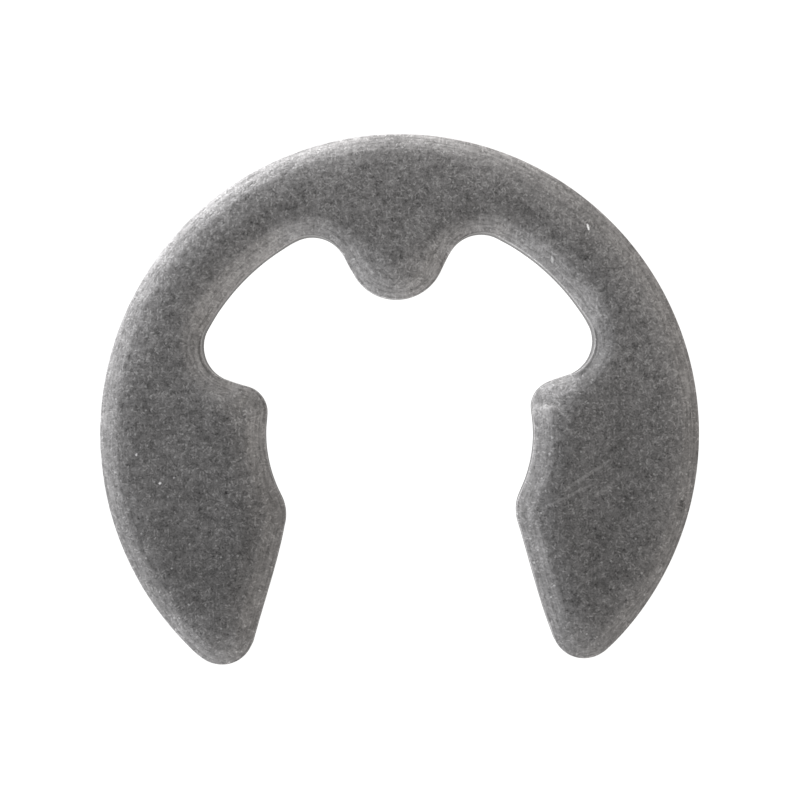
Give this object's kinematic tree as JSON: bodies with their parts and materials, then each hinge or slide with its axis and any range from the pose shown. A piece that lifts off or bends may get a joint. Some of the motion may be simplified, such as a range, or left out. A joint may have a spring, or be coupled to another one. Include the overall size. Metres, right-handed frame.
{
  "type": "e clip",
  "caption": "Flat E-shaped spring steel retaining ring with a rounded nose, relief windows and a flared mouth, pushed sideways into the groove of a shaft.",
  "frame": {"origin": "on the axis of the shaft that the ring holds, at the lower, square-edged face", "axes": "+Z along the shaft's axis, towards the face with rolled edges; +Y from the mouth towards the nose; +X across the ring, over both arms"},
  "size_m": [0.0168, 0.0148, 0.0009],
  "materials": {
    "spring_steel": "tumbled, grey, lightly oiled"
  },
  "bodies": {
    "root": {"e_clip": "spring_steel"}
  },
  "joints": []
}
